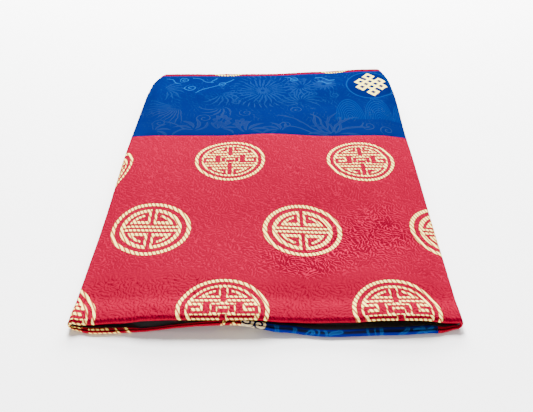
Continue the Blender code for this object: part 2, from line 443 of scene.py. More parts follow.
def cloth(name, runs, profile, shares, seams=(), step=STEP, hem_rows=0):
    """A closed thin sheet on the folded form, with the cloth's coordinates as an attribute."""
    names, parts = across(runs, step)
    columns, count = len(names), len(profile)
    thick, deep = hem_size(names, parts)
    outer, inner, where = [], [], []
    for k, (row, share) in enumerate(zip(profile, shares)):
        y_out, d_out, y_in, d_in, v = row
        if k < hem_rows:
            a, u, x = place(names, parts, *sized(y_out, d_out, thick, deep), share)
            b, _, _ = place(names, parts, *sized(y_in, d_in, thick, deep), share)
        else:
            a, u, x = place(names, parts, y_out, d_out, share)
            b, _, _ = place(names, parts, y_in, d_in, share)
        on_top = np.where(names == "over", smooth(parts * SEAM_FADE) * smooth((1 - parts) * SEAM_FADE), 0.0)
        rise = np.zeros((columns, 3))
        for seam in seams:
            rise[:, 2] += on_top * seam_dip(y_out, seam, x)
        outer.append(a + rise)
        inner.append(b + rise)
        where.append(np.stack([u * 1000, np.full(columns, v * 1000), np.zeros(columns)], 1))
    outer, inner, where = np.array(outer), np.array(inner), np.array(where)
    index = np.arange(count * columns).reshape(count, columns)
    lower = index + count * columns
    faces = []

    def quads(a, b, c, d):
        faces.append(np.stack([a.ravel(), b.ravel(), c.ravel(), d.ravel()], 1))

    quads(index[:-1, :-1], index[:-1, 1:], index[1:, 1:], index[1:, :-1])
    quads(lower[:-1, :-1], lower[1:, :-1], lower[1:, 1:], lower[:-1, 1:])
    quads(index[:-1, 0], index[1:, 0], lower[1:, 0], lower[:-1, 0])
    quads(index[:-1, -1], lower[:-1, -1], lower[1:, -1], index[1:, -1])
    quads(index[0, :-1], lower[0, :-1], lower[0, 1:], index[0, 1:])
    quads(index[-1, :-1], index[-1, 1:], lower[-1, 1:], lower[-1, :-1])
    mesh = bpy.data.meshes.new(name)
    points = np.concatenate([outer.reshape(-1, 3), inner.reshape(-1, 3)])
    mesh.from_pydata(points.tolist(), [], np.concatenate(faces).tolist())
    mesh.attributes.new("cloth", "FLOAT_VECTOR", "POINT")
    both = np.concatenate([where.reshape(-1, 3), where.reshape(-1, 3)]).astype(np.float32)
    mesh.attributes["cloth"].data.foreach_set("vector", both.ravel())
    mesh.polygons.foreach_set("use_smooth", [True] * len(mesh.polygons))
    mesh.set_sharp_from_angle(angle=SHARP_ANGLE)
    mesh.update()
    piece = bpy.data.objects.new(name, mesh)
    scene.collection.objects.link(piece)
    return piece


def hem_profile():
    """Rows of the front pieces from the hem's return to the seam, and how many of them are the hem's."""
    hem_y = FRONT_Y + HEM_RADIUS
    return_end = FRONT_Y + HEM_RETURN
    top = 2 * HEM_RADIUS
    v_run = hem_y - FRONT_Y
    v_roll = v_run - math.pi * HEM_RADIUS
    v_return = v_roll - (return_end - hem_y)
    back = flat_run(return_end, hem_y, top, top - BROCADE, v_return, HEM_STEP, grooved=True)
    roll = turn_rows(hem_y, HEM_RADIUS, HEM_RADIUS, HEM_RADIUS - BROCADE, True, v_roll, HEM_TURN_STEPS)
    run = flat_run(hem_y, SEAM_Y - SEAM_HALF_GAP, 0.0, BROCADE, v_run)
    return back[:-1] + roll + run[1:], len(back) - 1 + len(roll)


def over_crest(start_y, setback, top, thick, turn_steps, start_step, inner_step):
    """Rows of a sheet that runs back over the crest and turns under, and their shares of the loft."""
    crest_y = BACK_Y - CREST_RADIUS
    radius = CREST_RADIUS - top
    under = STACK - top
    v_crest = crest_y - start_y
    start = flat_run(start_y + setback, crest_y, top, top + thick, 0.0, start_step)
    turn = turn_rows(crest_y, CREST_RADIUS, radius, radius - thick, False, v_crest, turn_steps)
    inner = flat_run(crest_y, TURNED_PART_END_Y, under, under - thick, v_crest + math.pi * radius, inner_step)
    shares = [1.0] * (len(start) - 1)
    shares += [1 + (INNER_LOFT - 1) * float(smooth(k / turn_steps)) for k in range(turn_steps + 1)]
    shares += [INNER_LOFT] * (len(inner) - 1)
    return start[:-1] + turn + inner[1:], shares


def build_cloth():
    """Lay each sheet on its folded form."""
    profile, hem_rows = hem_profile()
    full = [1.0] * len(profile)
    red = cloth("red_front_cloth", RED_RUNS, profile, full, seams=(SEAM_Y,), hem_rows=hem_rows)
    under = cloth("blue_under_cloth", ("under_middle",), profile, full, hem_rows=hem_rows)

    back_seam = BACK_Y - CREST_RADIUS - BACK_SEAM_SETBACK
    run = flat_run(SEAM_Y + SEAM_HALF_GAP, back_seam - SEAM_HALF_GAP, 0.0, BROCADE, 0.0)
    band = cloth("blue_band_cloth", WIDE_RUNS, run, [1.0] * len(run), seams=(SEAM_Y, back_seam))

    profile, shares = over_crest(back_seam, SEAM_HALF_GAP, 0.0, BROCADE, CREST_TURN_STEPS, CREST_STEP, STEP)
    back = cloth("red_back_cloth", WIDE_RUNS, profile, shares, seams=(back_seam,))

    hem_y = FRONT_Y + HEM_RADIUS
    profile, shares = over_crest(
        hem_y, LINING_SETBACK, LINING_DEPTH, LINING, LINING_TURN_STEPS, LINING_STEP, LINING_STEP)
    lining = cloth("lining_cloth", WIDE_RUNS, profile, shares, step=LINING_STEP)
    return red, under, band, back, lining


class Value:
    """A number in a material's graph, with the usual arithmetic."""

    tree = None

    def __init__(self, socket):
        self.socket = socket

    @staticmethod
    def made(kind, *inputs):
        node = Value.tree.nodes.new("ShaderNodeMath")
        node.operation = kind
        for slot, given in zip(node.inputs, inputs):
            if isinstance(given, Value):
                Value.tree.links.new(given.socket, slot)
            else:
                slot.default_value = float(given)
        return Value(node.outputs[0])

    def __add__(self, other):
        return Value.made("ADD", self, other)

    def __radd__(self, other):
        return Value.made("ADD", other, self)

    def __sub__(self, other):
        return Value.made("SUBTRACT", self, other)

    def __rsub__(self, other):
        return Value.made("SUBTRACT", other, self)

    def __mul__(self, other):
        return Value.made("MULTIPLY", self, other)

    def __truediv__(self, other):
        return Value.made("DIVIDE", self, other)

    def __abs__(self):
        return Value.made("ABSOLUTE", self)


def low(a, b):
    """Smaller of two values."""
    return Value.made("MINIMUM", a, b)


def high(a, b):
    """Larger of two values."""
    return Value.made("MAXIMUM", a, b)


def mask(distance, soft):
    """1 inside a shape, where the distance to its edge is negative, and 0 outside."""
    node = Value.made("MULTIPLY_ADD", distance, -1.0 / soft, 0.5)
    node.socket.node.use_clamp = True
    return node


def length(a, b):
    """Distance of a point from the middle."""
    return Value.made("SQRT", a * a + b * b)


def bar(x, y, x0, x1, y0, y1):
    """Distance to a rectangle."""
    across_x = abs(x - (x0 + x1) / 2) - (x1 - x0) / 2
    across_y = abs(y - (y0 + y1) / 2) - (y1 - y0) / 2
    return high(across_x, across_y)


def ring(r, r0, r1):
    """Distance to a ring."""
    return abs(r - (r0 + r1) / 2) - (r1 - r0) / 2


def wrapped(value, period, middle=0.0):
    """Value brought to within half a period of the middle."""
    return Value.made("WRAP", value, middle + period / 2, middle - period / 2)


def split(tree, socket):
    """X, Y and Z of a vector."""
    node = tree.nodes.new("ShaderNodeSeparateXYZ")
    tree.links.new(socket, node.inputs[0])
    return Value(node.outputs[0]), Value(node.outputs[1]), Value(node.outputs[2])


def joined(tree, x, y):
    """A vector from its two numbers."""
    node = tree.nodes.new("ShaderNodeCombineXYZ")
    tree.links.new(x.socket, node.inputs[0])
    tree.links.new(y.socket, node.inputs[1])
    return node.outputs[0]


def noise(tree, vector, scale, detail=2.0, roughness=0.5):
    """Soft noise from 0 to 1."""
    node = tree.nodes.new("ShaderNodeTexNoise")
    node.inputs["Scale"].default_value = scale
    node.inputs["Detail"].default_value = detail
    node.inputs["Roughness"].default_value = roughness
    tree.links.new(vector, node.inputs["Vector"])
    return Value(node.outputs[0])


def mixed(tree, share, first, second):
    """Blend of two colours, each a socket or a plain colour."""
    node = tree.nodes.new("ShaderNodeMix")
    node.data_type = "RGBA"
    for slot, given in zip((node.inputs[6], node.inputs[7]), (first, second)):
        if isinstance(given, tuple):
            slot.default_value = (*given, 1.0)
        else:
            tree.links.new(given, slot)
    if isinstance(share, Value):
        tree.links.new(share.socket, node.inputs[0])
    else:
        node.inputs[0].default_value = share
    return node.outputs[2]


def new_material(name):
    """A material, its tree, its shader and the cloth's coordinates in millimetres."""
    material = bpy.data.materials.new(name)
    material.use_nodes = True
    tree = material.node_tree
    Value.tree = tree
    shader = tree.nodes["Principled BSDF"]
    source = tree.nodes.new("ShaderNodeAttribute")
    source.attribute_name = "cloth"
    u, v, _ = split(tree, source.outputs["Vector"])
    return material, tree, shader, u, v


# Pitch of the fine weave in the red satin, and in the blue satin and the lining, in millimetres
SATIN_PITCH = 0.42
WEAVE_PITCH = 0.5

# The curled line weave: size of a patch of one direction in pitches, waves across it, and its bend, with the
# bend's rate and the shift between its two directions
MAZE_PATCH = 5.0
MAZE_WAVES = 2.5
MAZE_BEND = 3.4
MAZE_BEND_RATE = 0.30
MAZE_BEND_SHIFT = (57.0, -31.0)


def maze(tree, u, v, pitch):
    """Distance from the thin curled line that wanders over the ground weave."""
    node = tree.nodes.new("ShaderNodeTexGabor")
    node.gabor_type = "2D"
    node.inputs["Scale"].default_value = 1.0 / (MAZE_PATCH * pitch)
    node.inputs["Frequency"].default_value = MAZE_WAVES
    node.inputs["Anisotropy"].default_value = 0.0
    bend_u = noise(tree, joined(tree, u, v), MAZE_BEND_RATE, 1.0) - 0.5
    shifted = joined(tree, u + MAZE_BEND_SHIFT[0], v + MAZE_BEND_SHIFT[1])
    bend_v = noise(tree, shifted, MAZE_BEND_RATE, 1.0) - 0.5
    tree.links.new(joined(tree, u + bend_u * MAZE_BEND, v + bend_v * MAZE_BEND), node.inputs["Vector"])
    return abs(wrapped(Value(node.outputs["Phase"]), 0.5))


# Slanting lines in the cream weft: direction, pitch, half width and softness
ROPE_U = 0.903
ROPE_V = 0.43
ROPE_PITCH = 2.7
ROPE_HALF = 0.55
ROPE_SOFT = 0.28


def rope(u, v):
    """Thin slanting lines that cut the cream weft into short floats, from 0 to 1."""
    return mask(abs(wrapped(u * ROPE_U + v * ROPE_V, ROPE_PITCH)) - ROPE_HALF, ROPE_SOFT)


# Softness of an emblem's edges, and how far its cream yarn is drawn in, since bright yarn spreads over its red
# edges in a picture, both as shares of the radius
EMBLEM_SOFT = 0.016
BLEED = 0.016

# The two long-life emblems, as shares of the radius: inner edge of the rim, edge of the disc, half width of the
# neck, the red arc's radius, half width and lowest height, the red caps' radius and lowest height, and the red
# bars: whether each is mirrored in x and in y, and where it runs in x and in y.
EMBLEM_A = {
    "rim": 0.888,
    "disc": 0.808,
    "neck": 0.118,
    "arc": (0.70, 0.025, 0.361),
    "cap": (0.59, 0.47),
    "bars": (
        (True, True, 0.112, 0.165, 0.47, 0.70),
        (True, True, 0.043, 0.61, 0.340, 0.384),
        (True, True, 0.10, 0.655, 0.203, 0.245),
        (False, False, -0.050, 0.050, 0.242, 0.71),
        (False, False, -0.050, 0.050, -0.71, -0.165),
        (True, False, 0.285, 0.412, -0.06, 0.225),
        (True, False, 0.487, 0.72, 0.030, 0.098),
        (True, False, 0.680, 0.735, -0.140, 0.098),
        (True, False, 0.28, 0.72, -0.140, -0.080),
        (False, False, -0.228, 0.228, 0.082, 0.130),
        (True, False, 0.150, 0.228, -0.10, 0.130),
        (False, False, -0.105, 0.105, -0.115, -0.005),
    ),
}
EMBLEM_B = {
    "rim": 0.870,
    "disc": 0.765,
    "neck": 0.118,
    "arc": (0.603, 0.027, 0.14),
    "cap": (0.48, 0.29),
    "bars": (
        (False, True, -0.034, 0.034, 0.14, 0.82),
        (False, True, -0.63, 0.63, 0.117, 0.163),
        (False, False, -0.67, 0.67, -0.019, 0.019),
        (True, True, 0.118, 0.180, 0.29, 0.60),
    ),
}


def emblem(x, y, form):
    """Cream share of a long-life emblem of radius 1: a rim, and a disc with red arcs, caps and bars."""
    r = length(x, y)
    ax, ay = abs(x), abs(y)
    arc_radius, arc_half, arc_from = form["arc"]
    cap_radius, cap_from = form["cap"]
    beside_neck = form["neck"] - ax
    arc = high(abs(r - arc_radius) - arc_half, high(arc_from - ay, beside_neck))
    red = low(arc, high(high(r - cap_radius, cap_from - ay), beside_neck))
    for mirror_x, mirror_y, *sides in form["bars"]:
        red = low(red, bar(ax if mirror_x else x, ay if mirror_y else y, *sides))
    rim = mask(ring(r, form["rim"], 1.0) + BLEED, EMBLEM_SOFT)
    disc = mask(r - form["disc"] + BLEED, EMBLEM_SOFT)
    return high(rim, low(disc, 1.0 - mask(red - BLEED, EMBLEM_SOFT)))


# Colours of the cloths
ROSE = (0.170, 0.0, 0.0135)
# Painted sheen highlight on the red ground, between the curled lines
ROSE_SHEEN_HIGHLIGHT = (0.235, 0.0, 0.0175)
ROSE_DARK = (0.060, 0.0, 0.0040)
ROSE_DEEP = (0.084, 0.0, 0.0070)
ROSE_LINE = (0.330, 0.0, 0.0290)
# Lighter red painted on the hem's roll and return, as painted light on its forward face
ROSE_LIT_ROLL = (0.215, 0.0, 0.0125)
# Painted shade on the hem's roll and in its groove, darker still at the stitches
CRIMSON_SHADE_AND_STITCHES = (0.026, 0.0, 0.0012)
CREAM = (0.92, 0.77, 0.17)
CREAM_SHADE = (0.66, 0.51, 0.10)
TWIST_RED = (0.19, 0.001, 0.014)
BLUE_GROUND = (0.0011, 0.0072, 0.066)
BLUE_DEEP = (0.0006, 0.0048, 0.052)
BLUE_SHADOW = (0.0050, 0.0058, 0.0100)
CYAN = (0.0010, 0.0280, 0.125)
BRIGHT_CYAN = (0.0020, 0.0520, 0.190)
TEAL = (0.0040, 0.0245, 0.098)
SLATE = (0.0088, 0.0205, 0.062)
# Lighter blue painted on the hem's roll and return, as painted light on its forward face
BLUE_LIT_ROLL = (0.0012, 0.0052, 0.125)
GREY_CREAM = (0.40, 0.355, 0.25)
NAVY = (0.0008, 0.0024, 0.028)
TWIST_GREY = (0.20, 0.19, 0.11)
LINING_DARK = (0.058, 0.064, 0.064)
LINING_LIGHT = (0.102, 0.112, 0.113)

# Tints of the yarns' sheen
RED_TINT = (1.0, 0.30, 0.40)
BLUE_TINT = (0.25, 0.45, 1.0)
LINING_TINT = (0.5, 0.6, 0.58)


def finish_cloth(tree, shader, colour, height, rough, tint, strength, distance):
    """Join colour, roughness and bump to the shader, with the specular level at nought and its tint set to the
    yarn's.
    """
    tree.links.new(colour, shader.inputs["Base Color"])
    bump = tree.nodes.new("ShaderNodeBump")
    bump.inputs["Strength"].default_value = strength
    bump.inputs["Distance"].default_value = distance
    tree.links.new(height.socket, bump.inputs["Height"])
    tree.links.new(bump.outputs[0], shader.inputs["Normal"])
    if isinstance(rough, Value):
        tree.links.new(rough.socket, shader.inputs["Roughness"])
    else:
        shader.inputs["Roughness"].default_value = rough
    shader.inputs["Specular IOR Level"].default_value = 0.0
    shader.inputs["Specular Tint"].default_value = (*tint, 1.0)


# Roundels on the red cloth, in millimetres: repeat across and along, radius, height as a share of the width,
# how far the rows between lie too near the mouth, and the place of one roundel on each red piece
ROUNDEL_REPEAT_U = 112.8
ROUNDEL_REPEAT_V = 82.2
ROUNDEL_RADIUS = 30.1
ROUNDEL_SQUEEZE = 0.94
ODD_ROW_SHIFT = 2.4
FRONT_ROUNDEL = (-27.9, 7.3)
BACK_ROUNDEL = (-46.0, 27.0)

# How far the roundels slump at the left side fold, and where: the fold, the front corner and the right fold
SLUMP = 10.0
SLUMP_U = -116.0
SLUMP_FROM_V = 90.0
CORNER_U = (-134.0, -104.0)
CORNER_TO_V = 9.0
RIGHT_FOLD_U = 102.0

# Pitch of the curled line weave, where its lines turn light, and the slanting patch that is shaded most, with
# its middle, direction, half width and half length
LINE_PITCH = 2.05
LIGHT_FROM_V = 38.0
PATCH_U = 56.0
PATCH_V = 68.0
PATCH_ALONG = 0.893
PATCH_ACROSS = 0.447
PATCH_HALF_WIDTH = 20.0
PATCH_HALF_LENGTH = 56.0

# Shadow in the hem's stitched groove: middle and half width in the red and in the blue cloth, and softness
RED_HEM_SHADE = (-3.8, 0.9)
BLUE_HEM_SHADE = (-3.9, 1.25)
HEM_SHADE_SOFT = 0.7

# How far along the cloth the hem's roll is painted lighter red and lighter blue, as painted light on its
# forward face, and how softly that ends
RED_LIT_ROLL_TO_V = -0.4
BLUE_LIT_ROLL_TO_V = 0.6
HEM_END_SOFT = 0.8

# Slanting stitches at the hem's fold: pitch, half width, slant, waver, and the place and half width of the band
# of painted shade on the roll's face that holds them
STITCH_PITCH = 2.3
STITCH_HALF = 0.30
STITCH_SLANT = 0.7
STITCH_WAVER = 3.4
SHADED_FACE_V = 1.1
SHADED_FACE_HALF = 0.9


def hem_shade(v, middle, half):
    """Share of shadow in the stitched groove of the rolled hem."""
    return mask(abs(v - middle) - half, HEM_SHADE_SOFT)


def slumped(a, v, slump):
    """Coordinates of the roundels, drawn along with the cloth that slumps at the side folds."""
    near_fold = mask(a - SLUMP_U, 12.0) * mask(SLUMP_FROM_V - v, 60.0)
    corner = mask(a - CORNER_U[1], 16.0) * mask(CORNER_U[0] - a, 8.0) * mask(v - CORNER_TO_V, 22.0)
    right_fold = mask(RIGHT_FOLD_U - a, 12.0)
    pulled = a - near_fold * (slump * 0.4) - corner * (slump * 0.6) + right_fold * (slump * 0.17)
    return pulled, v + near_fold * slump


def roundels(pulled, drawn, v, lattice_u, lattice_v):
    """Cream share of the emblems, in a half-drop repeat of two kinds."""
    even_x = wrapped(pulled - lattice_u, ROUNDEL_REPEAT_U)
    even_y = wrapped(drawn - lattice_v, 2 * ROUNDEL_REPEAT_V)
    odd_x = wrapped(pulled - lattice_u - ROUNDEL_REPEAT_U / 2, ROUNDEL_REPEAT_U)
    odd_y = wrapped(v - lattice_v - ROUNDEL_REPEAT_V + ODD_ROW_SHIFT, 2 * ROUNDEL_REPEAT_V)
    tall = ROUNDEL_RADIUS * ROUNDEL_SQUEEZE
    return high(
        emblem(even_x / ROUNDEL_RADIUS, even_y / tall, EMBLEM_A),
        emblem(odd_x / ROUNDEL_RADIUS, odd_y / tall, EMBLEM_B),
    )


def red_ground(tree, a, v, line, drift, fine):
    """Colour of the rose red ground: painted highlights on the ridges, darker grooves, and light lines in
    painted shade.
    """
    groove = mask(line - 0.042, 0.050)
    ridge = mask(0.185 - line, 0.060)
    # Painted sheen highlight on the ridges between the curled lines, stronger where the drift noise is high
    colour = mixed(tree, ridge * (0.30 + drift * 0.7), ROSE, ROSE_SHEEN_HIGHLIGHT)
    beyond = mask((drift - 0.5) * 40.0 + LIGHT_FROM_V - v, 12.0)
    colour = mixed(tree, groove * (1.0 - beyond) * (0.38 + drift * 0.6), colour, ROSE_DARK)
    patch_u, patch_v = a - PATCH_U, v - PATCH_V
    across_patch = abs(patch_v * PATCH_ALONG - patch_u * PATCH_ACROSS) - PATCH_HALF_WIDTH
    along_patch = abs(patch_u * PATCH_ALONG + patch_v * PATCH_ACROSS) - PATCH_HALF_LENGTH
    shaded = mask(high(across_patch, along_patch) + (drift - 0.5) * 30.0, 24.0)
    share = beyond * (shaded * 0.55 + 0.45)
    colour = mixed(tree, share * mask(line - 0.080, 0.05), colour, ROSE_LINE)
    colour = mixed(tree, share * mask(0.090 - line, 0.05) * (shaded * 0.15 + 0.75), colour, ROSE_DEEP)
    colour = mixed(tree, mask(0.50 - fine, 0.3) * 0.22, colour, ROSE_DARK)
    return colour, groove, ridge


def red_brocade(name, lattice_u, lattice_v, hem=False, slump=0.0):
    """Rose red satin with a curled line weave and cream emblems in a half-drop repeat."""
    material, tree, shader, u, v = new_material(name)
    a = u + v * SKEW
    plane = joined(tree, a, v)
    drift = noise(tree, plane, 0.016, 2.0)
    fine = noise(tree, plane, 0.9, 3.0, 0.6)
    line = maze(tree, a, v, LINE_PITCH)
    cloth_red, groove, ridge = red_ground(tree, a, v, line, drift, fine)
    pulled, drawn = slumped(a, v, slump) if slump else (a, v)
    cream = roundels(pulled, drawn, v, lattice_u, lattice_v)
    twist = rope(a, v)
    cream_colour = mixed(tree, mask(0.5 - fine, 0.4) * 0.2, CREAM, CREAM_SHADE)
    cream_colour = mixed(tree, twist * 0.93, cream_colour, TWIST_RED)
    colour = mixed(tree, cream, cloth_red, cream_colour)

    weave = abs(wrapped(v, SATIN_PITCH)) * 0.5
    red_relief = (1.0 - cream) * (ridge * 0.35 - groove * 0.65)
    cream_relief = cream * (0.75 - twist * 0.6)
    height = red_relief + cream_relief + weave * 0.25 + fine * 0.12
    if hem:
        # The hem's roll and return are painted a lighter red, as painted light
        colour = mixed(tree, mask(v - RED_LIT_ROLL_TO_V, HEM_END_SOFT) * (1.0 - cream), colour, ROSE_LIT_ROLL)
        stitches = wrapped(a + v * STITCH_SLANT + fine * STITCH_WAVER, STITCH_PITCH)
        tick = mask(abs(stitches) - STITCH_HALF, 0.5)
        # A band of painted shade on the roll's face, darker at each stitch, joined by the groove's painted
        # shadow
        edge = mask(abs(v - SHADED_FACE_V - fine * 0.8) - SHADED_FACE_HALF, 0.9)
        shade = high(hem_shade(v, *RED_HEM_SHADE), edge * (0.42 + tick * 0.58))
        colour = mixed(tree, shade * (0.90 - cream * 0.35), colour, CRIMSON_SHADE_AND_STITCHES)
        height = height - shade * (0.4 + tick * 0.4)
    rough = 0.42 + groove * 0.16 + cream * 0.12
    finish_cloth(tree, shader, colour, height, rough, RED_TINT, 0.6, 0.00028)
    return material


# The endless knot: its outer loops on the square grid, the grid's pitch in millimetres, its tilt in degrees,
# and the half width of its bands as a share of the pitch
KNOT_LOOPS = ((-1.5, -1.5), (-1.5, 0.5), (-0.5, 1.5), (0.5, -1.5), (1.5, -0.5), (1.5, 1.5))
KNOT_PITCH = 7.0
KNOT_TILT = 3.5
KNOT_BAND = 0.20

# Half width and spacing of a curl's line, the spacing as a share of its radius, and the spacing and half width
# of the lines in a wave
CURL_LINE = 0.55
CURL_SPACING = 0.62
ARCH_SPACING = 4.0
ARCH_HALF = 0.7


def knot(x, y):
    """Cream share of an endless knot: looped bands on a slanting square grid, with small holes."""
    angle = math.radians(45 - KNOT_TILT)
    c, s = math.cos(angle), math.sin(angle)
    p = (x * c - y * s) / KNOT_PITCH
    q = (x * -s - y * c) / KNOT_PITCH
    body = bar(p, q, -1 - KNOT_BAND, 1 + KNOT_BAND, -1 - KNOT_BAND, 1 + KNOT_BAND)
    for p0, q0 in KNOT_LOOPS:
        body = low(body, high(abs(p - p0), abs(q - q0)) - 0.5 - KNOT_BAND)
    hole = high(abs(wrapped(p - 0.5, 1.0)), abs(wrapped(q - 0.5, 1.0))) - 0.5 + KNOT_BAND
    return low(mask(body, 0.06), 1.0 - mask(hole, 0.08))


def fan(x, y, count, start, end, fat, spread, turn, curve):
    """Distance to a fan of petals or leaves round a middle, within an angle of its axis."""
    r = length(x, y)
    angle = Value.made("ARCTAN2", y, x) + (r * curve - turn)
    step = 2 * math.pi / count
    share = (r - start) / (end - start)
    width = share * (1.0 - share) * (4 * fat)
    petal = abs(wrapped(angle, step)) * r - width
    petal = high(petal, high(r - end, start - r))
    if spread < math.pi:
        petal = high(petal, (abs(wrapped(angle, 2 * math.pi)) - spread) * 20.0)
    return petal


def curl(x, y, radius, hand, line=CURL_LINE):
    """Distance to a spiral curl."""
    r = length(x, y)
    angle = Value.made("ARCTAN2", y * hand, x)
    step = radius * CURL_SPACING
    spiral = abs(wrapped(r - angle * (step / (2 * math.pi)), step)) - line
    return high(spiral, r - radius)


def arches(x, y, pitch, height):
    """Distance to the lines of tall round waves side by side."""
    r = length(wrapped(x, pitch) * (height / pitch * 2), y)
    return high(abs(wrapped(r, ARCH_SPACING)) - ARCH_HALF, high(r - height, y * -1.0))


# Repeat of the scrolls across the band, how far they bend, and where the teal tone and the sprigs begin
SCROLL_REPEAT = 256.0
SCROLL_BEND = 5.0
TEAL_FROM_V = 52.0
SPRIG_FROM_V = 16.0
SPRIG_PITCH = 3.2
SPRIG_SHIFT_U = 90.0

# The knot, the ring round it and the waves: places, the ring's size, and the waves' reach and size
KNOT_AT = (102.9, 89.2)
RING_AT = (101.5, 88.0)
RING_RADIUS = 24.0
RING_HALF = 0.75
WAVES_AT = (76.0, 26.0)
WAVES_U = (62.0, 140.0)
WAVE_PITCH = 28.0
WAVE_HEIGHT = 37.0

# The small emblem in the hem: place, radius, and its two curls with their place, radius and hand
HEM_EMBLEM_AT = (264.5, -4.5)
SMALL_EMBLEM_RADIUS = 8.6
SMALL_EMBLEM_CURLS = ((-4.2, 0.5, 5.2, 1), (3.6, -1.0, 5.4, -1))
SMALL_EMBLEM_LINE = 0.75

# Fans of the scrolls: place, count, start, end, half width, spread, axis and curve
BAND_FANS = (
    (-9, 82, 26, 8, 27, 1.0, 180, 0, 0.010),
    (-9, 82, 13, 2, 9, 1.3, 180, 10, 0.0),
    (-9, 82, 34, 26, 35, 0.7, 180, 5, -0.010),
    (57, 1, 11, 7, 40, 1.6, 84, 92, 0.020),
    (57, 1, 10, 3, 24, 1.6, 80, 104, -0.030),
    (-90, 50, 34, 4, 32, 0.7, 66, 228, 0.006),
    (-46, 25, 7, 3, 10, 2.7, 180, 20, 0.0),
    (-46, 10, 9, 2, 15, 1.9, 85, 90, 0.05),
    (-72, 8, 9, 3, 20, 2.0, 85, 70, -0.05),
    (-28, 20, 6, 1, 8, 2.4, 180, 15, 0.0),
    (-20, 4, 9, 3, 20, 2.2, 85, 100, 0.05),
    (8, 4, 9, 2, 18, 1.7, 85, 100, -0.06),
    (-106, 6, 8, 2, 15, 1.5, 85, 60, 0.06),
    (54, 92, 16, 2, 14, 1.3, 180, 0, 0.03),
    (30, 88, 14, 3, 20, 1.0, 180, 30, -0.02),
    (30, 60, 16, 3, 22, 0.9, 120, 120, 0.03),
    (-52, 74, 16, 3, 24, 1.0, 75, 330, 0.03),
    (-108, 84, 16, 3, 22, 1.0, 80, 20, 0.03),
    (-50, 50, 12, 3, 22, 1.0, 70, 300, 0.05),
)
BAND_CURLS = (
    (-63, 28, 8.0, 1),
    (-24, 38, 7.0, -1),
    (14, 15, 6.5, 1),
    (92, 15, 7.5, -1),
    (108, 8, 7.0, 1),
    (22, 106, 6.0, 1),
    (33, 103, 5.0, -1),
    (-34, 60, 5.5, -1),
    (25, 44, 6.0, 1),
    (-104, 20, 6.5, 1),
    (42, 72, 5.0, 1),
    (64, 70, 5.0, -1),
)

# Waved stems: both ends, wave and half width
BAND_STEMS = (
    (56, 3, 6, 34, 2.6, 0.9),
    (57, 4, 38, 36, 2.2, 0.9),
    (60, 5, 66, 30, 1.6, 0.9),
    (60, 4, 88, 20, 2.0, 0.9),
    (52, 2, 12, 13, 2.0, 0.8),
    (-72, 9, -100, 22, 2.0, 0.7),
)
BRIGHT_STEMS = (
    (-82, 109, -60, 101, 1.8, 0.55),
    (-62, 101, -57, 111, 0.5, 0.6),
    (-76, 77, -40, 107, 1.4, 0.6),
    (-109, 109, -93, 97, 1.5, 0.5),
    (14, 110, 27, 101, 1.6, 0.5),
    (46, 106, 66, 101, 2.2, 1.1),
    (48, 98, 62, 94, 1.8, 0.9),
)
BRIGHT_CURLS = (
    (-90.5, 105, 5.0, 1),
    (-82, 88, 7.0, -1),
    (-50, 96, 5.0, 1),
    (24, 104, 5.0, 1),
)
HEM_STEMS = (
    (251, -7, 249, 1, 0.3, 1.5),
    (239, -6, 238, 0, 0.5, 1.3),
    (229, -7, 227, 1, 0.4, 0.7),
    (225, -7, 222, 1, 0.8, 0.7),
    (220, -6, 216, 0, 0.8, 0.9),
    (216, -2, 208, -6, 0.5, 1.6),
    (192, -8, 191, 2, 0.2, 0.8),
    (187, -7, 186, 1, 0.2, 0.45),
    (184, -8, 182, 2, 0.3, 0.8),
    (172, 1, 166, -6, 0.4, 1.3),
    (161, 0, 150, -6, 0.6, 0.9),
    (158, -7, 153, 1, 0.4, 0.9),
    (163, -4, 149, -3, 0.8, 0.6),
)
HEM_FANS = ((181, -22, 14, 4, 16, 0.8, 60, 270, -0.03),)
HEM_CURLS = ((228, -3, 5.0, 1), (124, -3, 5.0, -1))


def stem(x, y, x0, y0, x1, y1, wave, half):
    """Distance to a waved line between two places."""
    run = math.hypot(x1 - x0, y1 - y0)
    c, s = (x1 - x0) / run, (y1 - y0) / run
    along = (x - x0) * c + (y - y0) * s
    swing = Value.made("SINE", along * (math.tau / run)) * wave
    return high(abs((y - y0) * c - (x - x0) * s - swing) - half, abs(along - run / 2) - run / 2)


def scrolls(x, y, fans, curls, stems):
    """Share of the tone-on-tone flowers, leaves, curls and stems, stronger at their outlines."""
    shapes = []
    for u0, v0, count, start, end, fat, spread, axis, curve in fans:
        shapes.append(fan(wrapped(x - u0, SCROLL_REPEAT), y - v0, count, start, end, fat, math.radians(spread),
                          math.radians(axis), curve))
    for u0, v0, radius, hand in curls:
        shapes.append(curl(wrapped(x - u0, SCROLL_REPEAT), y - v0, radius, hand))
    for row in stems:
        shapes.append(stem(x, y, *row))
    shape = shapes[0]
    for other in shapes[1:]:
        shape = low(shape, other)
    return mask(shape, 0.5) * 0.55 + mask(abs(shape + 0.35) - 0.35, 0.45) * 0.45


def hem_blue(tree, v, shape, ground):
    """Colour of the blue cloth at the hem: painted lighter on the hem's roll as painted light, and painted
    shadow in its stitched groove.
    """
    # The hem's roll and return are painted a lighter blue, as painted light, and its groove in painted shadow
    ground = mixed(tree, mask(v - BLUE_LIT_ROLL_TO_V, HEM_END_SOFT), ground, BLUE_LIT_ROLL)
    ground = mixed(tree, hem_shade(v, *BLUE_HEM_SHADE) * 0.9, ground, BLUE_SHADOW)
    return mixed(tree, shape * 0.85, ground, BRIGHT_CYAN)


def small_emblem(u, v, emblem_at):
    """Share of the small round emblem in the hem, and of its cream, in which two curls stay dark."""
    x, y = u - emblem_at[0], v - emblem_at[1]
    disc = mask(length(x, y) - SMALL_EMBLEM_RADIUS, 0.6)
    marks = [curl(x - x0, y - y0, size, hand, SMALL_EMBLEM_LINE) for x0, y0, size, hand in SMALL_EMBLEM_CURLS]
    return disc, low(disc, 1.0 - mask(low(*marks), 0.3))


